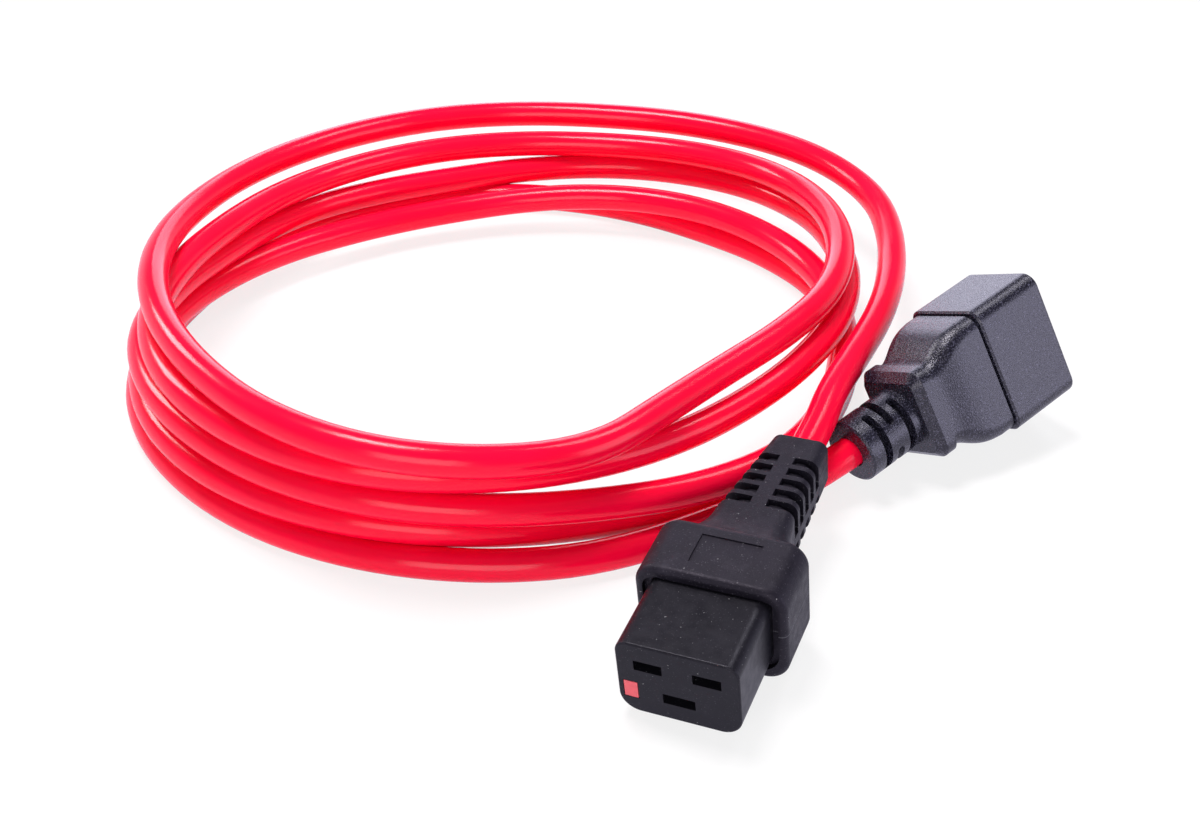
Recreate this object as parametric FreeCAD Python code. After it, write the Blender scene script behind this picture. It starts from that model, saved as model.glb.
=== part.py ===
import FreeCAD, Part
import math
import os

from FreeCAD import Placement, Rotation, Vector

# A locking rack power cord: a female connector with a lock release, a red
# flexible cord in five loose turns, and a male plug. Millimetres, +Z up, the
# cord and both ends lie on z = 0. Each end is drawn in its own axes: the
# mating direction is Y, the wide side is X and the narrow side is Z. The
# connector's face is at its own y = 0 and it looks towards -Y. The plug's
# groove is at its own y = 0 and its rim looks towards +Y.

# Cord
cord_diameter = 8.1
core_diameter = 2.6
core_pitch = 1.75
core_straight = 3.0
core_gather = 5.0

# Pins and the sockets that take them
pin_width = 5.0
pin_thickness = 2.0
pin_spacing = 13.0
earth_offset = 8.0
row_height = 4.0
pin_length = 16.5
earth_pin_lead = 1.5
slot_width = 6.3
slot_height = 2.7
earth_slot_width = 7.2

# Connector face block
insert_width = 27.3
insert_height = 20.0
insert_top_radius = 3.0
insert_bottom_radius = 4.7
insert_length = 24.0
insert_cap_length = 8.0
insert_edge = 0.5
slot_throat = 8.6
contact_length = 12.0
contact_wall = 0.5
contact_clearance = 0.2
contact_back = 1.0
contact_seam = 0.4
contact_wide_margin = 0.6
contact_high_margin = 0.7
barrel_length = 4.0
barrel_diameter = 3.2

# Lock release, plate and spring
window_width = 3.4
window_inset = 1.2
window_top = -1.1
slide_clearance = 0.18
slide_length = 16.0
slide_travel = 3.0
tab_height = 4.5
pad_length = 7.0
pad_start = 7.0
pad_height = 3.8
pad_proud = 1.0
pad_rib_count = 4
pad_groove_width = 0.7
pad_groove_depth = 0.45
plate_notch = 1.1
plate_play = 0.1
plate_start = 4.4
plate_thickness = 0.8
plate_clearance = 0.2
plate_height = 7.0
plate_edge = 1.6
plate_hole_clearance = 0.15
spring_wire = 0.45
spring_diameter = 2.6
spring_turns = 5
spring_segments = 10
spring_sides = 6

# Connector overmould
hood_width = 34.4
hood_height = 26.0
hood_radius = 5.6
hood_start = 19.5
hood_end = 37.0
hood_lip = 1.6
hood_shoulder = 2.2
lip_gap_side = 1.6
lip_gap_top = 0.45
lip_depth = 1.4
# The neck from the hood to the boot: distance behind the hood, then how much
# wider and higher than the boot's root it is there, and its corner radius
neck_steps = [
    (-1.0, 12.0, 6.6, 6.0),
    (2.6, 7.2, 3.9, 5.2),
    (6.1, 3.4, 1.9, 4.4),
    (10.2, 1.2, 0.7, 3.6),
]
neck_lap = 0.15
boot_start = 50.0
boot_end = 78.5
sheath_inset = 4.0
boot_root_width = 17.8
boot_root_height = 15.6
boot_tip_width = 13.5
boot_tip_height = 13.0
boot_tip_bend = 1.8
boot_radius = 2.6
boot_edge = 0.8
boot_wall_root = 2.2
boot_wall_tip = 1.1
boot_core_radius = 2.0
boot_slot_count = 5
boot_slot_width = 2.6
boot_slot_pitch = 4.13
boot_slot_first = 52.3
boot_spine = 3.7
boot_rib_height = 2.4
boot_rib_z = -1.7
label_width = 14.0
label_length = 9.0
label_depth = 0.35
label_centre_x = 1.0
label_centre_y = 28.4

# Plug
shroud_width = 34.4
shroud_height = 26.0
shroud_radius = 3.8
shroud_length = 22.0
cavity_width = 28.4
cavity_height = 20.6
cavity_radius = 3.0
pin_base_depth = 6.0
pin_base_top = 1.5
pin_chamfer = 0.6
rim_edge = 0.9
groove_edge = 0.5
groove_width = 0.7
groove_step = 0.8
plug_shoulder = 18.7
waist_width = 23.0
waist_height = 21.5
waist_radius = 4.0
# The shoulders: distance behind the groove, the share of the way from the
# shroud's size to the waist's, and the corner radius
shoulder_steps = [
    (3.5, 0.0, 4.0),
    (7.5, 0.12, 4.3),
    (11.6, 0.48, 4.5),
    (15.0, 0.90, 4.3),
]
flange_width = 24.2
flange_height = 22.8
flange_length = 5.2
flange_radius = 4.0
flange_chamfer = 2.2
relief_diameter = 16.4
relief_end = 41.3
relief_edge = 0.5
relief_slot_rows = 3
relief_slot_width = 2.3
relief_slot_pitch = 4.2
relief_slot_first = 27.6
relief_slot_depth = 2.9
relief_slot_sweep = 118.0
sheath_depth = 18.0

# Where the two ends lie: the tilt lifts the back of the connector onto the
# turns below its boot, and the roll raises its right side.
connector_x = -18.6
connector_y = -77.9
connector_height = 12.0
connector_tilt = 5.0
connector_roll = 3.7
plug_x = 10.7
plug_y = 52.6
plug_height = 19.45
plug_heading = 28.4
plug_rise = 10.7
plug_roll = 63.0

# The coil: twelve stations a turn, counted anticlockwise from coil_start
coil_x = -117.7
coil_y = 46.9
coil_start = 68.0
station_step = 30.0
section_step = 15.0
section_sides = 16
lies_flat = 0.6
turn_radii = [
    [118.1, 108.5, 105.5, 99.7, 94.7, 95.1, 99.4, 106.0, 96.0, 82.5, 89.6, 97.5],
    [103.3, 96.5, 90.8, 88.1, 84.7, 95.6, 102.3, 103.6, 92.5, 86.2, 92.1, 99.2],
    [105.2, 98.0, 88.3, 88.8, 85.2, 98.3, 102.5, 103.9, 98.5, 99.8, 95.1, 92.6],
    [84.1, 73.3, 69.0, 73.5, 83.8, 96.6, 104.0, 102.7, 95.0, 97.4, 96.0, 94.9],
    [84.9, 83.6, 88.2, 90.6, 92.6, 99.0, 104.1, 104.5, 104.5],
]
turn_heights = [
    [24.0, 23.8, 24.3, 27.0, 31.3, 36.2, 37.1, 36.1, 30.3, 27.6, 28.4, 26.6],
    [21.1, 18.8, 19.9, 22.3, 26.8, 28.0, 28.8, 28.3, 22.6, 19.2, 20.5, 18.5],
    [12.9, 10.3, 12.2, 14.2, 18.5, 20.3, 20.6, 20.2, 14.9, 12.9, 12.2, 11.9],
    [12.2, 11.2, 9.1, 8.8, 10.5, 12.3, 12.3, 11.6, 5.6, 4.5, 4.1, 4.1],
    [4.1, 4.1, 4.1, 4.1, 4.1, 4.1, 4.1, 4.1, 4.1],
]

# Straight stretch out of each end, then hand-chosen points of the two
# uncoiled stretches
boot_lead = 9.0
relief_lead = 9.5
connector_lead = [
    (-17.1, 25.6, 22.1),
    (-16.2, 45.3, 22.3),
    (-15.5, 65.8, 22.3),
    (-17.7, 87.3, 22.0),
    (-23.2, 109.5, 22.5),
    (-33.5, 131.9, 23.0),
    (-51.6, 148.1, 23.7),
    (-70.6, 155.6, 24.2),
]
plug_lead = [
    (-24.1, 1.1, 4.6),
    (-31.6, -11.4, 4.1),
]


def rounded_wire(width, height, y, radius, low_radius=None):
    """A closed rounded rectangle in the XZ plane at y."""
    low = radius if low_radius is None else low_radius
    half_w, half_h = width / 2, height / 2
    corners = [
        (half_w, half_h, radius, 0),
        (-half_w, half_h, radius, 90),
        (-half_w, -half_h, low, 180),
        (half_w, -half_h, low, 270),
    ]
    edges = []
    last = None
    first = None
    for cx, cz, r, start in corners:
        mid_x = cx - math.copysign(r, cx)
        mid_z = cz - math.copysign(r, cz)
        spots = []
        for turn in (0, 45, 90):
            a = math.radians(start + turn)
            spots.append(Vector(mid_x + r * math.cos(a), y, mid_z + r * math.sin(a)))
        if last is not None:
            edges.append(Part.makeLine(last, spots[0]))
        else:
            first = spots[0]
        edges.append(Part.Arc(*spots).toShape())
        last = spots[2]
    edges.append(Part.makeLine(last, first))
    return Part.Wire(edges)


def rounded_block(width, height, y0, y1, radius, low_radius=None):
    face = Part.Face(rounded_wire(width, height, y0, radius, low_radius))
    return face.extrude(Vector(0, y1 - y0, 0))


def lofted(sections):
    """A solid through rounded rectangles given as (width, height, y, radius)."""
    return Part.makeLoft([rounded_wire(*s) for s in sections], True, False)


def box(x0, x1, y0, y1, z0, z1):
    return Part.makeBox(x1 - x0, y1 - y0, z1 - z0, Vector(x0, y0, z0))


def rod(x, z, y0, y1, diameter):
    return Part.makeCylinder(diameter / 2, y1 - y0, Vector(x, y0, z), Vector(0, 1, 0))


def rim_edges(shape, y):
    """The edges that lie in the plane at y."""
    found = []
    for edge in shape.Edges:
        spots = [v.Point.y for v in edge.Vertexes]
        if all(abs(s - y) < 1e-4 for s in spots):
            found.append(edge)
    return found


def rounded_path(points):
    """Straight runs joined by tangent arcs as large as the runs allow."""
    spots = [Vector(*p) for p in points]
    edges = []
    radii = []
    start = spots[0]
    for before, corner, after in zip(spots, spots[1:], spots[2:]):
        back = before - corner
        ahead = after - corner
        turn = math.pi - back.getAngle(ahead)
        reach = 0.45 * min(back.Length, ahead.Length)
        radii.append(reach / math.tan(turn / 2))
        back.normalize()
        ahead.normalize()
        enter = corner + back * reach
        leave = corner + ahead * reach
        bisector = back + ahead
        bisector.normalize()
        away = radii[-1] / math.cos(turn / 2) - radii[-1]
        edges.append(Part.makeLine(start, enter))
        edges.append(Part.Arc(enter, corner + bisector * away, leave).toShape())
        start = leave
    edges.append(Part.makeLine(start, spots[-1]))
    return Part.Wire(edges), radii


def tube(points, diameter):
    """A round tube along a rounded path, and its arc radii and length."""
    path, radii = rounded_path(points)
    heading = Vector(*points[1]) - Vector(*points[0])
    ring = Part.Wire([Part.Circle(Vector(*points[0]), heading, diameter / 2).toShape()])
    solid = path.makePipeShell([ring], True, False)
    return solid, radii, path.Length


def mitred_rod(points, diameter):
    """A round rod in straight lengths with mitred joints."""
    heading = Vector(*points[1]) - Vector(*points[0])
    ring = Part.Wire([Part.Circle(Vector(*points[0]), heading, diameter / 2).toShape()])
    path = Part.makePolygon([Vector(*p) for p in points])
    return path.makePipeShell([ring], True, False, 1)


def skinned(rings, closed):
    """A solid of flat triangles over rings of points, closed or capped."""
    faces = []
    pairs = list(zip(rings, rings[1:] + rings[:1]))
    for ring, after in pairs if closed else pairs[:-1]:
        for a, b, c, d in zip(ring, ring[1:] + ring[:1], after[1:] + after[:1], after):
            for corners in ((a, b, c), (a, c, d)):
                if (corners[1] - corners[0]).cross(corners[2] - corners[0]).Length > 1e-9:
                    faces.append(Part.Face(Part.makePolygon(list(corners) + [corners[0]])))
    if not closed:
        for ring in (rings[0], rings[-1]):
            faces.append(Part.Face(Part.makePolygon(ring + ring[:1])))
    solid = Part.Solid(Part.Shell(faces))
    if solid.Volume < 0:
        solid.reverse()
    return solid


def one_solid(shape):
    cleaned = shape.removeSplitter()
    return cleaned.Solids[0] if len(cleaned.Solids) == 1 else cleaned


# Where each socket or pin stands on the face: line, neutral and earth
def contact_spots():
    return {
        "line": (-pin_spacing / 2, row_height),
        "neutral": (pin_spacing / 2, row_height),
        "earth": (0.0, row_height - earth_offset),
    }


def core_spots():
    """Where the three cores lie in the cord, under their own contacts."""
    return {
        "line": (-core_pitch, core_pitch * 0.6),
        "neutral": (core_pitch, core_pitch * 0.6),
        "earth": (0.0, -core_pitch),
    }


contact_width = slot_width + contact_wide_margin
contact_height = slot_height + contact_high_margin
contact_start = slot_throat + contact_clearance
contact_end = contact_start + contact_length
insert_end = insert_length + insert_cap_length
slide_x = -insert_width / 2 + window_inset + window_width / 2
slide_width = window_width - 2 * slide_clearance
window_bottom = window_top - tab_height - 2 * slide_clearance
sheath_start = boot_start + sheath_inset


def boot_axis(y):
    """The middle of the boot at y: its tip leans towards +X."""
    return Vector(boot_tip_bend * (y - boot_start) / (boot_end - boot_start), y, 0)


def boot_heading():
    heading = boot_axis(boot_end) - boot_axis(boot_start)
    return heading.normalize()


def connector_core(name):
    """A core from its contact's barrel to the stripped end of the cord."""
    x, z = contact_spots()[name]
    cx, cz = core_spots()[name]
    end = boot_axis(sheath_start) + Rotation(Vector(0, 1, 0), boot_heading()).multVec(Vector(cx, 0, cz))
    points = [
        (x, contact_end + barrel_length, z),
        (x, insert_end + core_straight, z),
        end - boot_heading() * core_gather,
        end,
    ]
    return mitred_rod(points, core_diameter)


def connector_contact(name):
    """A folded sleeve that grips the pin, with a crimp barrel behind it."""
    x, z = contact_spots()[name]
    half_w, half_h = contact_width / 2, contact_height / 2
    sleeve = box(x - half_w, x + half_w, contact_start, contact_end, z - half_h, z + half_h)
    inner_w = half_w - contact_wall
    inner_h = half_h - contact_wall
    sleeve = sleeve.cut(
        box(x - inner_w, x + inner_w, contact_start, contact_end - contact_back, z - inner_h, z + inner_h)
    )
    half_seam = contact_seam / 2
    seam = box(
        x - half_seam, x + half_seam, contact_start, contact_end - contact_back, z - half_h, z - inner_h
    )
    barrel = rod(x, z, contact_end, contact_end + barrel_length, barrel_diameter)
    return sleeve.cut(seam).fuse(barrel)


def release_slide():
    """A bar with the red tip in the face window and a ribbed thumb pad."""
    top = window_top - slide_clearance
    half = slide_width / 2
    bar = box(slide_x - half, slide_x + half, 0.0, slide_length, top - tab_height, top)
    notch_x = slide_x + half - plate_notch
    notch = box(
        notch_x,
        slide_x + half,
        plate_start - plate_play,
        plate_start + plate_thickness + plate_play,
        top - tab_height,
        top,
    )
    bar = bar.cut(notch)
    face_x = -insert_width / 2
    mid = top - tab_height / 2
    pad = box(
        face_x - pad_proud,
        slide_x - half,
        pad_start,
        pad_start + pad_length,
        mid - pad_height / 2,
        mid + pad_height / 2,
    )
    rib_pitch = pad_length / pad_rib_count
    for i in range(pad_rib_count):
        y = pad_start + rib_pitch * (i + 0.5)
        groove = box(
            face_x - pad_proud,
            face_x - pad_proud + pad_groove_depth,
            y - pad_groove_width / 2,
            y + pad_groove_width / 2,
            mid - pad_height,
            mid + pad_height,
        )
        pad = pad.cut(groove)
    return one_solid(bar.fuse(pad))


def lock_plate():
    """The steel plate round the earth pin, held in the slide's notch."""
    x, z = contact_spots()["earth"]
    top = window_top - slide_clearance
    left = slide_x + slide_width / 2 - plate_notch + plate_play
    right = x + pin_width / 2 + plate_edge
    end = plate_start + plate_thickness
    plate = box(left, right, plate_start, end, z - plate_height / 2, z + plate_height / 2)
    step = box(left, slide_x + window_width / 2, plate_start, end, z - plate_height, top - tab_height)
    half_w = pin_width / 2 + plate_hole_clearance
    half_t = pin_thickness / 2 + plate_hole_clearance
    hole = box(x - half_w, x + half_w, plate_start, end, z - half_t, z + half_t)
    return plate.cut(step).cut(hole)


def release_spring():
    """A helical spring between the slide's end and the channel's end."""
    length = insert_length - slide_length - spring_wire
    mid_z = window_top - slide_clearance - tab_height / 2
    mean = (spring_diameter - spring_wire) / 2
    count = spring_turns * spring_segments
    rings = []
    for i in range(count + 1):
        a = 2 * math.pi * i / spring_segments
        y = slide_length + spring_wire / 2 + length * i / count
        ring = []
        for k in range(spring_sides):
            b = 2 * math.pi * k / spring_sides
            reach = mean + spring_wire / 2 * math.cos(b)
            rise = spring_wire / 2 * math.sin(b)
            ring.append(Vector(slide_x + reach * math.cos(a), y + rise, mid_z + reach * math.sin(a)))
        rings.append(ring)
    return skinned(rings, False)


def connector_insert():
    """The face block: three slots, contact pockets, lock window and channel."""
    block = rounded_block(
        insert_width, insert_height, 0, insert_length, insert_top_radius, insert_bottom_radius
    )
    block = block.makeFillet(insert_edge, rim_edges(block, 0))
    for name, (x, z) in contact_spots().items():
        half_w = (earth_slot_width if name == "earth" else slot_width) / 2
        half_h = slot_height / 2
        block = block.cut(box(x - half_w, x + half_w, 0, slot_throat, z - half_h, z + half_h))
        half_w = contact_width / 2 + contact_clearance
        half_h = contact_height / 2 + contact_clearance
        block = block.cut(box(x - half_w, x + half_w, slot_throat, insert_length, z - half_h, z + half_h))
    channel = box(
        slide_x - window_width / 2, slide_x + window_width / 2, 0, insert_length, window_bottom, window_top
    )
    top = window_top - slide_clearance
    mid = top - tab_height / 2
    side = box(
        -insert_width / 2 - 1.0,
        slide_x,
        pad_start - slide_clearance,
        pad_start + pad_length + slide_travel + slide_clearance,
        mid - pad_height / 2 - slide_clearance,
        mid + pad_height / 2 + slide_clearance,
    )
    x, z = contact_spots()["earth"]
    pocket = box(
        slide_x,
        x + pin_width / 2 + plate_edge + plate_clearance,
        plate_start - plate_clearance,
        plate_start + plate_thickness + slide_travel + plate_clearance,
        z - plate_height / 2 - plate_clearance,
        z + plate_height / 2 + plate_clearance,
    )
    return one_solid(block.cut(channel).cut(side).cut(pocket))


def connector_insert_cap():
    """The rear cap that keeps the contacts and the spring in the block."""
    cap = rounded_block(
        insert_width, insert_height, insert_length, insert_end, insert_top_radius, insert_bottom_radius
    )
    for x, z in contact_spots().values():
        cap = cap.cut(rod(x, z, insert_length, insert_end, barrel_diameter + 2 * contact_clearance))
    return cap


def boot_slots():
    """Slots round each corner, between the top or bottom spine and a side rib."""
    root = cord_diameter + 2 * boot_wall_root
    tip = cord_diameter + 2 * boot_wall_tip
    core = boot_form((root, root), (tip, tip), boot_core_radius)
    reach = boot_root_width
    rib_top = boot_rib_z + boot_rib_height / 2
    rib_bottom = boot_rib_z - boot_rib_height / 2
    tools = []
    for i in range(boot_slot_count):
        middle = boot_slot_first + i * boot_slot_pitch
        y0, y1 = middle - boot_slot_width / 2, middle + boot_slot_width / 2
        spine_x = boot_axis(middle).x
        left = (-reach, spine_x - boot_spine / 2)
        right = (spine_x + boot_spine / 2, reach)
        for x0, x1 in (left, right):
            for z0, z1 in ((rib_top, reach), (-reach, rib_bottom)):
                tools.append(box(x0, x1, y0, y1, z0, z1).cut(core))
    return tools


def boot_form(root, tip, radius):
    """A tapered block along the boot's leaning axis, with rounded corners."""
    rings = []
    for (width, height), y in ((root, boot_start), (tip, boot_end)):
        x = boot_axis(y).x
        half_w, half_h = width / 2, height / 2
        spots = [(half_w, half_h), (-half_w, half_h), (-half_w, -half_h), (half_w, -half_h)]
        rings.append([Vector(x + dx, y, dz) for dx, dz in spots])
    block = one_solid(skinned(rings, False))
    corners = [e for e in block.Edges if abs(e.Vertexes[0].Point.y - e.Vertexes[1].Point.y) > 1.0]
    return block.makeFillet(radius, corners)


def connector_hood():
    """Hood, flared neck and slotted boot, moulded over the block in one."""
    hood = rounded_block(hood_width, hood_height, hood_start, hood_end, hood_radius)
    hood = hood.makeFillet(hood_lip, rim_edges(hood, hood_start))
    hood = hood.makeFillet(hood_shoulder, rim_edges(hood, hood_end))
    sections = [
        (boot_root_width + wider, boot_root_height + higher, hood_end + behind, radius)
        for behind, wider, higher, radius in neck_steps
    ]
    lap = 2 * neck_lap
    neck = lofted(sections + [(boot_root_width + lap, boot_root_height + lap, boot_start, boot_radius)])
    boot = boot_form((boot_root_width, boot_root_height), (boot_tip_width, boot_tip_height), boot_radius)
    boot = boot.makeFillet(boot_edge, rim_edges(boot, boot_end))
    body = hood.fuse([neck, boot])
    recess = rounded_block(
        insert_width + 2 * lip_gap_side,
        insert_height + 2 * lip_gap_top,
        hood_start - 1.0,
        hood_start + lip_depth,
        insert_top_radius + lip_gap_top,
        insert_bottom_radius + lip_gap_top,
    )
    seat = rounded_block(
        insert_width, insert_height, hood_start, insert_end, insert_top_radius, insert_bottom_radius
    )
    sheath_length = boot_end + 1.0 - sheath_start
    sheath = Part.makeCylinder(cord_diameter / 2, sheath_length, boot_axis(sheath_start), boot_heading())
    label = box(
        label_centre_x - label_width / 2,
        label_centre_x + label_width / 2,
        label_centre_y - label_length / 2,
        label_centre_y + label_length / 2,
        hood_height / 2 - label_depth,
        hood_height / 2 + 1.0,
    )
    body = body.cut([recess, seat, sheath, label])
    body = body.cut(boot_slots())
    body = body.cut([connector_core(name) for name in contact_spots()])
    return one_solid(body)


def plug_shroud():
    """The shroud: an open box round the pins, with a soft outer rim."""
    start = groove_width / 2
    outer = rounded_block(shroud_width, shroud_height, start, shroud_length, shroud_radius)
    outer = outer.makeFillet(rim_edge, rim_edges(outer, shroud_length))
    outer = outer.makeChamfer(groove_edge, rim_edges(outer, start))
    inner = rounded_block(cavity_width, cavity_height, start - 1.0, shroud_length + 1.0, cavity_radius)
    return outer.cut(inner)


def plug_pin_base():
    """The block that carries the pins and closes the shroud's floor."""
    base = rounded_block(cavity_width, cavity_height, -pin_base_depth, pin_base_top, cavity_radius)
    for x, z in contact_spots().values():
        half_w, half_t = pin_width / 2, pin_thickness / 2
        base = base.cut(box(x - half_w, x + half_w, -pin_base_depth, pin_base_top, z - half_t, z + half_t))
    return base


def plug_pin(name):
    """A flat pin with a rounded nose and a crimp barrel behind the base."""
    x, z = contact_spots()[name]
    tip = pin_base_top + pin_length
    if name != "earth":
        tip -= earth_pin_lead
    half_w, half_t = pin_width / 2, pin_thickness / 2
    blade = box(x - half_w, x + half_w, -pin_base_depth, tip, z - half_t, z + half_t)
    blade = blade.makeChamfer(pin_chamfer, rim_edges(blade, tip))
    barrel = rod(x, z, -pin_base_depth - barrel_length, -pin_base_depth, barrel_diameter)
    return blade.fuse(barrel)


def plug_core(name):
    """A core from its pin's barrel to the stripped end of the cord."""
    x, z = contact_spots()[name]
    cx, cz = core_spots()[name]
    start = -pin_base_depth - barrel_length
    end = -relief_end + sheath_depth
    points = [
        (x, start, z),
        (x, start - core_straight, z),
        (cx, end + core_gather, cz),
        (cx, end, cz),
    ]
    return mitred_rod(points, core_diameter)


def relief_slots():
    """Three rows of round-ended slots, the middle row turned by 90 degrees."""
    tools = []
    outer = relief_diameter / 2 + 1.0
    inner = relief_diameter / 2 - relief_slot_depth
    along = Vector(0, 1, 0)
    for row in range(relief_slot_rows):
        y = -relief_slot_first - row * relief_slot_pitch
        low = y - relief_slot_width / 2
        for side in range(2):
            first = side * 180 + (90 if row % 2 else 0) - relief_slot_sweep / 2
            slot = Part.makeCylinder(outer, relief_slot_width, Vector(0, low, 0), along, relief_slot_sweep)
            for turn in (0, relief_slot_sweep):
                ray = Rotation(along, turn).multVec(Vector(0, 0, 1))
                slot = slot.fuse(Part.makeCylinder(relief_slot_width / 2, outer, Vector(0, y, 0), ray))
            slot = slot.cut(rod(0, 0, low, low + relief_slot_width, 2 * inner))
            slot.rotate(Vector(0, 0, 0), along, first)
            tools.append(slot)
    return tools


def plug_body():
    """The overmould: shouldered body, flange and slotted strain relief."""
    front = -groove_width / 2
    width = shroud_width - 2 * groove_step
    height = shroud_height - 2 * groove_step
    spread_w = width - waist_width
    spread_h = height - waist_height
    sections = [
        (width - share * spread_w, height - share * spread_h, front - behind, radius)
        for behind, share, radius in shoulder_steps
    ]
    flange_back = -plug_shoulder - flange_length
    shoulders = lofted(sections + [(waist_width, waist_height, -plug_shoulder, waist_radius)])
    collar = rounded_block(width, height, front - shoulder_steps[0][0], front, shoulder_steps[0][2])
    neck = rounded_block(
        shroud_width - 4 * groove_step,
        shroud_height - 4 * groove_step,
        front,
        groove_width / 2,
        cavity_radius,
    )
    flange = rounded_block(flange_width, flange_height, flange_back, -plug_shoulder, flange_radius)
    flange = flange.makeChamfer(flange_chamfer, rim_edges(flange, flange_back))
    relief = rod(0, 0, -relief_end, flange_back + 1.0, relief_diameter)
    relief = relief.makeChamfer(relief_edge, rim_edges(relief, -relief_end))
    whole = shoulders.fuse([collar, neck, flange, relief])
    seat = rounded_block(cavity_width, cavity_height, -pin_base_depth, groove_width, cavity_radius)
    sheath = rod(0, 0, -relief_end - 1.0, -relief_end + sheath_depth, cord_diameter)
    whole = whole.cut([seat, sheath])
    whole = whole.cut(relief_slots())
    for name, (x, z) in contact_spots().items():
        barrel = rod(x, z, -pin_base_depth - barrel_length, -pin_base_depth, barrel_diameter)
        whole = whole.cut([barrel, plug_core(name)])
    return one_solid(whole)


def coil_stations():
    """The turns as one list of (angle, radius, height), end to end."""
    stations = []
    angle = coil_start
    for radii, heights in zip(turn_radii, turn_heights):
        for radius, height in zip(radii, heights):
            stations.append((angle, radius, height))
            angle += station_step
    return stations


def between(stations, angle):
    """Radius and height at an angle, eased between the stations beside it."""
    place = (angle - stations[0][0]) / station_step
    i = min(max(int(math.floor(place)), 0), len(stations) - 2)
    t = place - i
    picks = [stations[min(max(i + k, 0), len(stations) - 1)] for k in (-1, 0, 1, 2)]
    values = []
    for j in (1, 2):
        p0, p1, p2, p3 = [s[j] for s in picks]
        slope1, slope2 = (p2 - p0) / 2, (p3 - p1) / 2
        values.append(
            (2 * t**3 - 3 * t**2 + 1) * p1
            + (t**3 - 2 * t**2 + t) * slope1
            + (3 * t**2 - 2 * t**3) * p2
            + (t**3 - t**2) * slope2
        )
    return values


def coil_section(stations, angle):
    """The outline round every strand that crosses this angle."""
    first = stations[0][0]
    last = stations[-1][0]
    strands = []
    crossing = angle
    while crossing <= last:
        if crossing >= first:
            strands.append(between(stations, crossing))
        crossing += 360.0
    sides = []
    for k in range(section_sides):
        a = math.radians(360 / section_sides * k)
        reach = max(r * math.cos(a) + h * math.sin(a) for r, h in strands) + cord_diameter / 2
        sides.append((math.cos(a), math.sin(a), reach))
    spots = []
    for (c1, s1, d1), (c2, s2, d2) in zip(sides, sides[1:] + sides[:1]):
        det = c1 * s2 - c2 * s1
        spots.append(((d1 * s2 - d2 * s1) / det, (c1 * d2 - c2 * d1) / det))
    turned = math.radians(angle)
    ring = []
    for r, h in spots:
        z = h if h > lies_flat else 0.0
        ring.append(Vector(coil_x + r * math.cos(turned), coil_y + r * math.sin(turned), z))
    return ring


def cord_coil():
    """The outer shape of the turns as one closed ring."""
    stations = coil_stations()
    count = int(round(360 / section_step))
    rings = [coil_section(stations, coil_start + i * section_step) for i in range(count)]
    return skinned(rings, True)


def connector_place():
    turn = Rotation(Vector(1, 0, 0), connector_tilt) * Rotation(Vector(0, 1, 0), -connector_roll)
    return Placement(Vector(connector_x, connector_y, connector_height), turn)


def plug_place():
    turn = (
        Rotation(Vector(0, 0, 1), -plug_heading)
        * Rotation(Vector(1, 0, 0), plug_rise)
        * Rotation(Vector(0, 1, 0), plug_roll)
    )
    return Placement(Vector(plug_x, plug_y, plug_height), turn)


def placed(shape, place):
    moved = shape.copy()
    moved.Placement = place.multiply(moved.Placement)
    return moved


def cord_leads(coil):
    """The two uncoiled stretches, cut where they enter the coil."""
    leads = {}
    at_boot = connector_place()
    starts = [
        at_boot.multVec(boot_axis(sheath_start)),
        at_boot.multVec(boot_axis(boot_end) + boot_heading() * boot_lead),
    ]
    leads["cord_lead_connector"] = [tuple(p) for p in starts] + connector_lead
    at_relief = plug_place()
    starts = [
        at_relief.multVec(Vector(0, -relief_end + sheath_depth, 0)),
        at_relief.multVec(Vector(0, -relief_end - relief_lead, 0)),
    ]
    leads["cord_lead_plug"] = [tuple(p) for p in starts] + plug_lead
    solids = {}
    for name, points in leads.items():
        solid, radii, length = tube(points, cord_diameter)
        ideal = math.pi * cord_diameter**2 / 4 * length
        print(name, "radii", [round(r, 1) for r in radii], "length", round(length, 1))
        print(name, "volume over ideal", round(solid.Volume / ideal, 4))
        pieces = solid.cut(coil).Solids
        start = Vector(*points[0])
        pieces.sort(key=lambda s: s.distToShape(Part.Vertex(start))[0])
        solids[name] = pieces[0]
    return solids


def build():
    at_connector = connector_place()
    at_plug = plug_place()
    nodes = {
        "connector_insert": placed(connector_insert(), at_connector),
        "connector_insert_cap": placed(connector_insert_cap(), at_connector),
        "connector_hood": placed(connector_hood(), at_connector),
        "release_slide": placed(release_slide(), at_connector),
        "lock_plate": placed(lock_plate(), at_connector),
        "release_spring": placed(release_spring(), at_connector),
        "plug_shroud": placed(plug_shroud(), at_plug),
        "plug_pin_base": placed(plug_pin_base(), at_plug),
        "plug_body": placed(plug_body(), at_plug),
    }
    for name in contact_spots():
        nodes["connector_" + name + "_contact"] = placed(connector_contact(name), at_connector)
        nodes["connector_" + name + "_core"] = placed(connector_core(name), at_connector)
        nodes["plug_" + name + "_pin"] = placed(plug_pin(name), at_plug)
        nodes["plug_" + name + "_core"] = placed(plug_core(name), at_plug)
    coil = cord_coil()
    nodes["cord_coil"] = coil
    nodes.update(cord_leads(coil))
    return nodes


os.makedirs("parts", exist_ok=True)
for node, shape in build().items():
    shape.exportStep(os.path.join("parts", node + ".step"))
    span = shape.BoundBox
    print(node, "solids", len(shape.Solids), "valid", shape.isValid(), "volume", round(shape.Volume, 1))
    print(node, "from z", round(span.ZMin, 2), "to", round(span.ZMax, 2))
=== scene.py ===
import math

import bpy
from mathutils import Matrix, Vector


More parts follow.
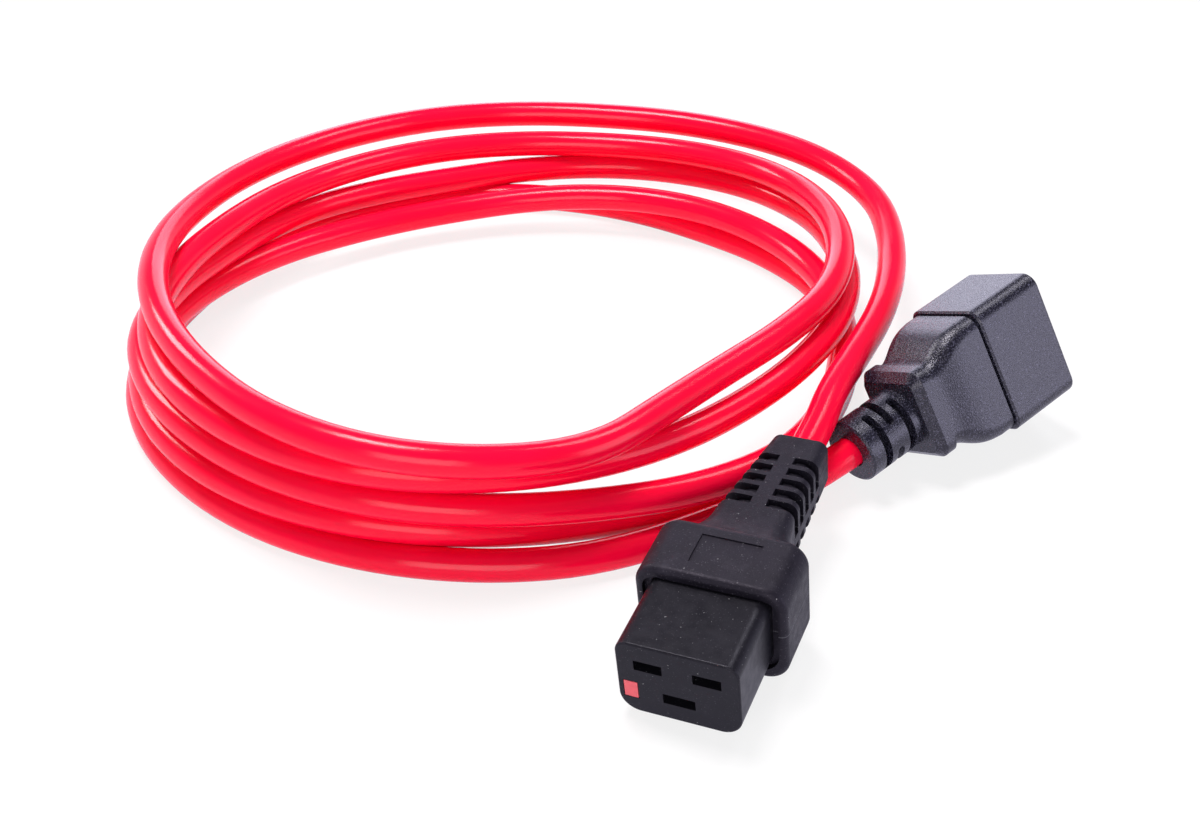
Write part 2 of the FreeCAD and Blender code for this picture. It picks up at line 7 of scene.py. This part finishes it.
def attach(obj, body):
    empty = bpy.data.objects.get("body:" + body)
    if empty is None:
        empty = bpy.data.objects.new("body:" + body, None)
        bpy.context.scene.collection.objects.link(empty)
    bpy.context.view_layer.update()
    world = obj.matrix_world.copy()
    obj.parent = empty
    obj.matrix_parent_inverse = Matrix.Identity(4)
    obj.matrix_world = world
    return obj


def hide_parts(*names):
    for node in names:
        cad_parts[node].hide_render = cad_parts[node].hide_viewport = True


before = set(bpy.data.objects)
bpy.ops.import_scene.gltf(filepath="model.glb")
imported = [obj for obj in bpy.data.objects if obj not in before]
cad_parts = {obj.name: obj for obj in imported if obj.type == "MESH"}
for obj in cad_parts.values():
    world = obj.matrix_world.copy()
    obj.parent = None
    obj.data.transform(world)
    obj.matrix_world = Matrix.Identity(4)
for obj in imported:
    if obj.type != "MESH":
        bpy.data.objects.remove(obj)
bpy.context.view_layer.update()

# The two ends' places, as in the CAD model, in metres and degrees
connector_at = Vector((-0.0186, -0.0779, 0.012))
connector_tilt = 5.0
connector_roll = 3.7
plug_at = Vector((0.0107, 0.0526, 0.01945))
plug_heading = 28.4
plug_rise = 10.7
plug_roll = 63.0
boot_start = 0.050
sheath_start = 0.054
boot_end = 0.0785
boot_tip_bend = 0.0018
boot_lead = 0.009
relief_end = 0.0413
relief_lead = 0.0095
sheath_depth = 0.018

# The hood's parting line, at this height in the connector's own axes
parting_height = 0.0009
parting_half_width = 0.00008
parting_fade = 0.00010

# Cord
cord_diameter = 0.0081
connector_lead = [
    (-0.0171, 0.0256, 0.0221),
    (-0.0162, 0.0453, 0.0223),
    (-0.0155, 0.0658, 0.0223),
    (-0.0177, 0.0873, 0.0220),
    (-0.0232, 0.1095, 0.0225),
    (-0.0335, 0.1319, 0.0230),
    (-0.0516, 0.1481, 0.0237),
]
plug_lead = [
    (-0.0241, 0.0011, 0.0046),
    (-0.0316, -0.0114, 0.0041),
]

# How finely the tube is divided, round it and between two points
cord_ring = 7
cord_steps = 6

# The coil: twelve stations a turn, anticlockwise from coil_start
coil_centre = (-0.1177, 0.0469)
coil_start = 68.0
station_step = 30.0
point_step = 15.0
coil_end = 308.0
# A curve runs a little inside its points, so they stand this much further out
point_reach = 1.0086
turn_radii = [
    [0.1181, 0.1085, 0.1055, 0.0990, 0.0941, 0.0948, 0.0992, 0.1066, 0.0986, 0.0808, 0.0888, 0.0975],
    [0.1033, 0.0965, 0.0908, 0.0873, 0.0846, 0.0955, 0.1024, 0.1036, 0.0925, 0.0862, 0.0921, 0.0992],
    [0.1052, 0.0975, 0.0850, 0.0857, 0.0860, 0.1000, 0.1034, 0.1039, 0.0985, 0.1022, 0.0953, 0.0918],
    [0.0832, 0.0730, 0.0684, 0.0728, 0.0860, 0.1006, 0.1050, 0.1022, 0.0937, 0.0965, 0.0960, 0.0949],
    [0.0849, 0.0838, 0.0868, 0.0910, 0.0946, 0.1032, 0.1049, 0.1047, 0.1050],
]
turn_heights = [
    [0.0240, 0.0238, 0.0243, 0.0270, 0.0315, 0.0364, 0.0371, 0.0361, 0.0305, 0.0282, 0.0284, 0.0266],
    [0.0211, 0.0188, 0.0199, 0.0216, 0.0262, 0.0276, 0.0288, 0.0281, 0.0226, 0.0192, 0.0205, 0.0185],
    [0.0129, 0.0107, 0.0114, 0.0132, 0.0181, 0.0199, 0.0206, 0.0200, 0.0149, 0.0125, 0.0122, 0.0119],
    [0.0122, 0.0112, 0.0090, 0.0086, 0.0101, 0.0121, 0.0123, 0.0118, 0.0058, 0.0045, 0.0041, 0.0041],
    [0.0041, 0.0041, 0.0041, 0.0041, 0.0041, 0.0041, 0.0041, 0.0041, 0.0041],
]
# The top turn runs straight here, so its point between two stations lies further in
point_trims = {17: -0.0034}

# The photograph's view, in metres, degrees and millimetres
camera_at = (0.0605, -0.3042, 0.2453)
camera_down = 34.3
camera_turn = 23.1
camera_lens = 48.0
sensor_width = 36.0
nearest_seen = 0.01

# The surround: its colour, as the camera sees it and in reflections
plain_white = (1, 1, 1, 1)
pale_reflection = (0.84, 0.82, 1.0, 1)
# In reflections the backdrop is bright up to one height and faded at the next
bright_up_to = 0.10
faded_from = 0.34
faded_level = 0.22
# What the surround gives to every surface besides the lamps
fill_level = 0.14

# The floor, as the camera sees it and in reflections: near the object this share of it is
# plain white and the rest keeps the shadow, and between the two distances it all turns white
floor_size = 12.0
floor_colour = (0.95, 0.95, 0.95, 1)
white_share_near = 0.80
shadow_reach = 0.26
white_from = 0.55

# The soft boxes: place, size, power and colour, all turned towards one point
warm_light = (1.0, 0.97, 0.98)
cool_light = (0.96, 0.95, 1.0)
lavender_light = (0.84, 0.83, 1.0)
lamp_target = Vector((-0.05, 0.03, 0.02))
lamps = {
    "key": ((-0.30, 0.05, 0.95), 0.30, 8.2, warm_light),
    "left": ((-0.90, 0.17, 0.48), 0.25, 3.0, warm_light),
    "right": ((0.95, 0.10, 0.25), 0.6, 4.0, lavender_light),
    "front": ((0.15, -0.95, 0.40), 0.6, 5.0, warm_light),
    "back": ((-0.75, 1.40, 0.35), 0.8, 6.0, lavender_light),
    "top": ((0.12, 0.55, 0.85), 0.3, 2.5, cool_light),
}

# The insulated cores' colours
core_colours = {
    "line": (0.20, 0.08, 0.03, 1),
    "neutral": (0.04, 0.12, 0.42, 1),
    "earth": (0.22, 0.45, 0.06, 1),
}


def turn(axis, degrees):
    """A rotation about that axis."""
    return Matrix.Rotation(math.radians(degrees), 4, axis)


connector_leaning = turn("X", connector_tilt) @ turn("Y", -connector_roll)
connector_frame = Matrix.Translation(connector_at) @ connector_leaning
plug_lying = turn("Z", -plug_heading) @ turn("X", plug_rise) @ turn("Y", plug_roll)
plug_frame = Matrix.Translation(plug_at) @ plug_lying


def between(values, place):
    """The value at a place in a list, eased between its neighbours."""
    i = min(int(place), len(values) - 2)
    t = place - i
    p0, p1, p2, p3 = [values[min(max(i + k, 0), len(values) - 1)] for k in (-1, 0, 1, 2)]
    slope1, slope2 = (p2 - p0) / 2, (p3 - p1) / 2
    rise = t * t * (3 - 2 * t)
    return p1 + rise * (p2 - p1) + (t - 2 * t**2 + t**3) * slope1 + (t**3 - t**2) * slope2


def coil_points():
    """The turns' points, from the top turn at the back to the end on the floor."""
    radii = [r for turn_list in turn_radii for r in turn_list]
    heights = [h for turn_list in turn_heights for h in turn_list]
    whole = 360.0 * (len(turn_radii) - 1) + coil_end - coil_start
    points = []
    for step in range(int(whole / point_step) + 1):
        angle = step * point_step
        place = angle / station_step
        radius = (between(radii, place) + point_trims.get(step, 0.0)) * point_reach
        height = between(heights, place)
        around = math.radians(coil_start + angle)
        x = coil_centre[0] + radius * math.cos(around)
        y = coil_centre[1] + radius * math.sin(around)
        points.append((x, y, height))
    return points


def boot_axis(y):
    """The middle of the boot at y, which leans towards its tip."""
    leaning = boot_tip_bend * (y - boot_start) / (boot_end - boot_start)
    return connector_frame @ Vector((leaning, y, 0))


def cord_points():
    """Every point of the cord, from inside the boot to inside the plug's relief."""
    leaving = [boot_axis(sheath_start), boot_axis(boot_end + boot_lead)]
    arriving = (relief_end + relief_lead, relief_end - sheath_depth)
    ending = [plug_frame @ Vector((0, -y, 0)) for y in arriving]
    return leaving + connector_lead + coil_points() + plug_lead[::-1] + ending


def make_cord():
    """The whole cord as one open curve, from boot to plug."""
    curve = bpy.data.curves.new("cord", "CURVE")
    curve.dimensions = "3D"
    # The points' radii carry the size, so that the curve's box is its real one
    curve.bevel_depth = 1.0
    curve.bevel_resolution = cord_ring
    curve.resolution_u = cord_steps
    curve.use_fill_caps = True
    points = cord_points()
    spline = curve.splines.new("NURBS")
    spline.points.add(len(points) - 1)
    for target, place in zip(spline.points, points):
        target.co = (*place, 1.0)
        target.radius = cord_diameter / 2
    spline.order_u = 3
    spline.use_endpoint_u = True
    cord = bpy.data.objects.new("power_cord", curve)
    bpy.context.collection.objects.link(cord)
    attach(cord, "cord")
    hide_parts("cord_coil", "cord_lead_connector", "cord_lead_plug")
    return cord


def new_shader(name):
    """A material with its own Principled shader, and that shader."""
    material = bpy.data.materials.new(name)
    material.use_nodes = True
    return material, material.node_tree.nodes["Principled BSDF"]


def add(material, kind, links=None, **settings):
    """A node of that kind, its named sockets set to values or linked to outputs."""
    node = material.node_tree.nodes.new(kind)
    for key, value in settings.items():
        setattr(node, key, value)
    for socket, value in (links or {}).items():
        if isinstance(value, bpy.types.NodeSocket):
            material.node_tree.links.new(value, node.inputs[socket])
        else:
            node.inputs[socket].default_value = value
    return node


def combined(material, operation, *values):
    """The result of a math node from one or two values or outputs."""
    return add(material, "ShaderNodeMath", dict(enumerate(values)), operation=operation).outputs[0]


def noise(material, scale, detail=3.0, roughness=0.5):
    """A soft noise through the solid, its scale in features a metre."""
    place = add(material, "ShaderNodeTexCoord").outputs["Object"]
    links = {"Vector": place, "Scale": scale, "Detail": detail, "Roughness": roughness}
    return add(material, "ShaderNodeTexNoise", links).outputs["Fac"]


def spread(material, value, low, high, to_low, to_high):
    """The value's range from low to high mapped to another, and held there."""
    links = {"Value": value, "From Min": low, "From Max": high}
    links.update({"To Min": to_low, "To Max": to_high})
    return add(material, "ShaderNodeMapRange", links).outputs["Result"]


def mixed(material, share, one, other):
    """One colour turning into the other as the share rises from 0 to 1."""
    node = add(material, "ShaderNodeMix", data_type="RGBA")
    for socket, value in ((0, share), (6, one), (7, other)):
        if isinstance(value, bpy.types.NodeSocket):
            material.node_tree.links.new(value, node.inputs[socket])
        else:
            node.inputs[socket].default_value = value
    return node.outputs[2]


def mottled(material, scale, detail, one, other, low=0.3, high=0.7):
    """A colour that drifts between two with a soft noise."""
    tone = spread(material, noise(material, scale, detail), low, high, 0.0, 1.0)
    return mixed(material, tone, one, other)


def bumped(material, height, strength, distance, under=None):
    """A normal that follows that height, over the normal under it if there is one."""
    links = {"Height": height, "Strength": strength, "Distance": distance}
    if under is not None:
        links["Normal"] = under
    return add(material, "ShaderNodeBump", links).outputs["Normal"]


def feed(material, shader, socket, output):
    """Link an output to one of the shader's sockets."""
    material.node_tree.links.new(output, shader.inputs[socket])


def local_axes(material, place, tilt):
    """The surface's place in the axes of a frame at that place and tilt."""
    where = add(material, "ShaderNodeTexCoord").outputs["Object"]
    links = {"Vector": where, "Location": tuple(place), "Rotation": tuple(tilt)}
    return add(material, "ShaderNodeMapping", links, vector_type="TEXTURE").outputs["Vector"]


def specks(material, scale, cut, share):
    """Small scattered spots of that share, where a fine noise rises over a height."""
    spots = spread(material, noise(material, scale, 1.0), cut, cut + 0.04, 0.0, 1.0)
    return combined(material, "MULTIPLY", spots, share)


def line_mask(material, value, middle, half, soft):
    """1 within half of the middle value, fading to 0 over soft."""
    away = combined(material, "ABSOLUTE", combined(material, "SUBTRACT", value, middle))
    return spread(material, away, half, half + soft, 1.0, 0.0)


def cord_jacket():
    """Smooth glossy PVC, its surface slightly wavy along its length."""
    material, shader = new_shader("cord_jacket")
    deep_red, clear_red = (0.90, 0.001, 0.031, 1), (0.95, 0.002, 0.042, 1)
    colour = mottled(material, 45.0, 2.0, deep_red, clear_red, 0.2, 0.8)
    feed(material, shader, "Base Color", colour)
    shine = spread(material, noise(material, 70.0, 2.0), 0.15, 0.85, 0.12, 0.24)
    feed(material, shader, "Roughness", shine)
    fine = bumped(material, noise(material, 1400.0, 1.0), 0.05, 0.00005)
    waves = bumped(material, noise(material, 55.0, 1.0), 0.14, 0.0010, fine)
    feed(material, shader, "Normal", waves)
    shader.inputs["Specular IOR Level"].default_value = 0.22
    return material


def dusted(material, colour, amount):
    """Pale dust over a colour: fine specks, fewer bright ones and faint scuffs."""
    scuff = spread(material, noise(material, 90.0, 8.0, 0.75), 0.56, 0.74, 0.0, 0.05 * amount)
    worn = mixed(material, scuff, colour, (0.30, 0.28, 0.36, 1))
    fine = specks(material, 2600.0, 0.68, 0.07 * amount)
    worn = mixed(material, fine, worn, (0.55, 0.52, 0.62, 1))
    lint = specks(material, 1500.0, 0.76, 0.35 * amount)
    return mixed(material, lint, worn, (0.75, 0.75, 0.78, 1))


def overmould():
    """The hood and boot: matte black rubber with a parting line on each side."""
    material, shader = new_shader("overmould")
    dark, less_dark = (0.0042, 0.0036, 0.0066, 1), (0.0076, 0.0064, 0.0116, 1)
    colour = mottled(material, 140.0, 5.0, dark, less_dark)
    inside = local_axes(material, connector_at, connector_frame.to_euler())
    height = add(material, "ShaderNodeSeparateXYZ", {"Vector": inside}).outputs["Z"]
    seam = line_mask(material, height, parting_height, parting_half_width, parting_fade)
    colour = mixed(material, seam, dusted(material, colour, 1.0), (0.06, 0.06, 0.07, 1))
    feed(material, shader, "Base Color", colour)
    shine = spread(material, noise(material, 500.0), 0.3, 0.7, 0.44, 0.58)
    feed(material, shader, "Roughness", shine)
    ridge = bumped(material, seam, 0.7, 0.00012)
    grain = bumped(material, noise(material, 3000.0, 2.0), 0.5, 0.00012, ridge)
    feed(material, shader, "Normal", grain)
    shader.inputs["Specular IOR Level"].default_value = 0.24
    shader.inputs["Specular Tint"].default_value = (0.92, 0.84, 1.0, 1)
    return material


def connector_face():
    """The block's smooth black nylon, slightly glossier than the rubber."""
    material, shader = new_shader("connector_face")
    dark, less_dark = (0.0056, 0.0052, 0.0078, 1), (0.0086, 0.0080, 0.0116, 1)
    colour = mottled(material, 120.0, 4.0, dark, less_dark)
    feed(material, shader, "Base Color", dusted(material, colour, 0.6))
    shine = spread(material, noise(material, 400.0), 0.3, 0.7, 0.32, 0.42)
    feed(material, shader, "Roughness", shine)
    grain = bumped(material, noise(material, 3600.0, 2.0), 0.25, 0.00005)
    feed(material, shader, "Normal", grain)
    shader.inputs["Specular IOR Level"].default_value = 0.20
    shader.inputs["Specular Tint"].default_value = (0.90, 0.88, 1.0, 1)
    return material


def plug_mould():
    """The plug's black plastic with a fine eroded grain, its sparkle painted into the colour as pale
    glints.
    """
    material, shader = new_shader("plug_mould")
    dark, less_dark = (0.0055, 0.0050, 0.0105, 1), (0.0080, 0.0075, 0.0155, 1)
    colour = mottled(material, 90.0, 4.0, dark, less_dark)
    grain = noise(material, 2300.0, 2.0, 0.6)
    # Painted glints: where the grain rises, pale lavender specks in the colour stand in for the
    # sparkle of light
    painted_glint_share = spread(material, grain, 0.54, 0.70, 0.0, 0.50)
    colour = mixed(material, painted_glint_share, colour, (0.160, 0.156, 0.240, 1))
    feed(material, shader, "Base Color", dusted(material, colour, 0.5))
    feed(material, shader, "Roughness", spread(material, grain, 0.35, 0.65, 0.20, 0.34))
    feed(material, shader, "Normal", bumped(material, grain, 0.6, 0.00018))
    shader.inputs["Specular IOR Level"].default_value = 0.55
    shader.inputs["Specular Tint"].default_value = (0.92, 0.90, 1.0, 1)
    return material


def metal(name, colour, rough):
    """A bare metal of that colour, its polish slightly uneven."""
    material, shader = new_shader(name)
    worn = spread(material, noise(material, 900.0), 0.3, 0.7, rough - 0.06, rough + 0.08)
    feed(material, shader, "Roughness", worn)
    darker = tuple(c * 0.85 for c in colour[:3]) + (1,)
    feed(material, shader, "Base Color", mottled(material, 200.0, 3.0, darker, colour))
    shader.inputs["Metallic"].default_value = 1.0
    return material


def coloured_plastic(name, colour):
    """A smooth plastic of that colour, for the cores and the release."""
    material, shader = new_shader(name)
    paler = tuple(min(c * 1.25, 1.0) for c in colour[:3]) + (1,)
    feed(material, shader, "Base Color", mottled(material, 300.0, 3.0, colour, paler))
    shader.inputs["Roughness"].default_value = 0.45
    return material


def dress(node_names, material):
    """Give each of those CAD pieces the material in place of its own."""
    for name in node_names:
        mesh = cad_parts[name].data
        mesh.materials.clear()
        mesh.materials.append(material)


def ray_kinds(material):
    """Two shares: 1 for what the camera sees, also through glass, and 1 for reflections."""
    path = add(material, "ShaderNodeLightPath").outputs
    seen = combined(material, "MAXIMUM", path["Is Camera Ray"], path["Is Transmission Ray"])
    return seen, path["Is Glossy Ray"]


def make_floor():
    """A pale floor that keeps the shadow near the object and is plain white further out."""
    bpy.ops.mesh.primitive_plane_add(size=floor_size, location=(0, 0, 0))
    floor = bpy.context.object
    floor.name = "floor"
    material, shader = new_shader("floor")
    shader.inputs["Base Color"].default_value = floor_colour
    shader.inputs["Roughness"].default_value = 0.9
    shader.inputs["Specular IOR Level"].default_value = 0.0
    seen, reflected = ray_kinds(material)
    pale = mixed(material, reflected, plain_white, pale_reflection)
    white = add(material, "ShaderNodeEmission", {"Color": pale, "Strength": 1.0})
    where = add(material, "ShaderNodeTexCoord").outputs["Object"]
    away = add(material, "ShaderNodeVectorMath", {0: where}, operation="LENGTH").outputs["Value"]
    plain = spread(material, away, shadow_reach, white_from, white_share_near, 1.0)
    either = combined(material, "MAXIMUM", seen, reflected)
    share = combined(material, "MULTIPLY", either, plain)
    surfaces = {0: share, 1: shader.outputs[0], 2: white.outputs[0]}
    both = add(material, "ShaderNodeMixShader", surfaces)
    output = material.node_tree.nodes["Material Output"]
    material.node_tree.links.new(both.outputs[0], output.inputs["Surface"])
    floor.data.materials.append(material)


def make_light():
    """A white surround whose pale backdrop reaches up a little, and the soft boxes."""
    world = bpy.data.worlds.new("studio")
    bpy.context.scene.world = world
    world.use_nodes = True
    background = world.node_tree.nodes["Background"]
    seen, reflected = ray_kinds(world)
    feed(world, background, "Color", mixed(world, reflected, plain_white, pale_reflection))
    towards = add(world, "ShaderNodeTexCoord").outputs["Generated"]
    height = add(world, "ShaderNodeSeparateXYZ", {"Vector": towards}).outputs["Z"]
    backdrop = spread(world, height, bright_up_to, faded_from, 1.0, faded_level)
    gloss = combined(world, "MULTIPLY", backdrop, reflected)
    level = combined(world, "MAXIMUM", seen, gloss)
    feed(world, background, "Strength", combined(world, "MAXIMUM", level, fill_level))
    for name, (place, size, power, tint) in lamps.items():
        light = bpy.data.lights.new(name, "AREA")
        light.size = size
        light.energy = power
        light.color = tint
        lamp = bpy.data.objects.new(name, light)
        lamp.location = place
        aim = lamp_target - Vector(place)
        lamp.rotation_euler = aim.to_track_quat("-Z", "Y").to_euler()
        bpy.context.collection.objects.link(lamp)


def make_camera():
    """The photograph's view."""
    data = bpy.data.cameras.new("camera")
    data.sensor_fit = "HORIZONTAL"
    data.sensor_width = sensor_width
    data.lens = camera_lens
    data.clip_start = nearest_seen
    camera = bpy.data.objects.new("camera", data)
    camera.location = camera_at
    tilt = math.radians(90.0 - camera_down)
    camera.rotation_euler = (tilt, 0, math.radians(camera_turn))
    bpy.context.collection.objects.link(camera)
    bpy.context.scene.camera = camera


bpy.context.scene.view_settings.view_transform = "Standard"
make_floor()
make_light()
make_camera()

cord = make_cord()
cord.data.materials.append(cord_jacket())

dress(["connector_hood"], overmould())
dress(["connector_insert", "connector_insert_cap"], connector_face())
dress(["plug_shroud", "plug_body", "plug_pin_base"], plug_mould())
dress(["release_slide"], coloured_plastic("release_red", (0.62, 0.075, 0.095, 1)))
dress(["lock_plate", "release_spring"], metal("steel", (0.60, 0.60, 0.62, 1), 0.3))
contacts = [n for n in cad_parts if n.endswith("_contact")]
dress(contacts, metal("contact_brass", (0.75, 0.58, 0.28, 1), 0.28))
pins = [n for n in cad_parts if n.endswith("_pin")]
dress(pins, metal("pin_metal", (0.78, 0.77, 0.74, 1), 0.22))
for wire, colour in core_colours.items():
    cores = ["connector_" + wire + "_core", "plug_" + wire + "_core"]
    dress(cores, coloured_plastic(wire + "_core", colour))
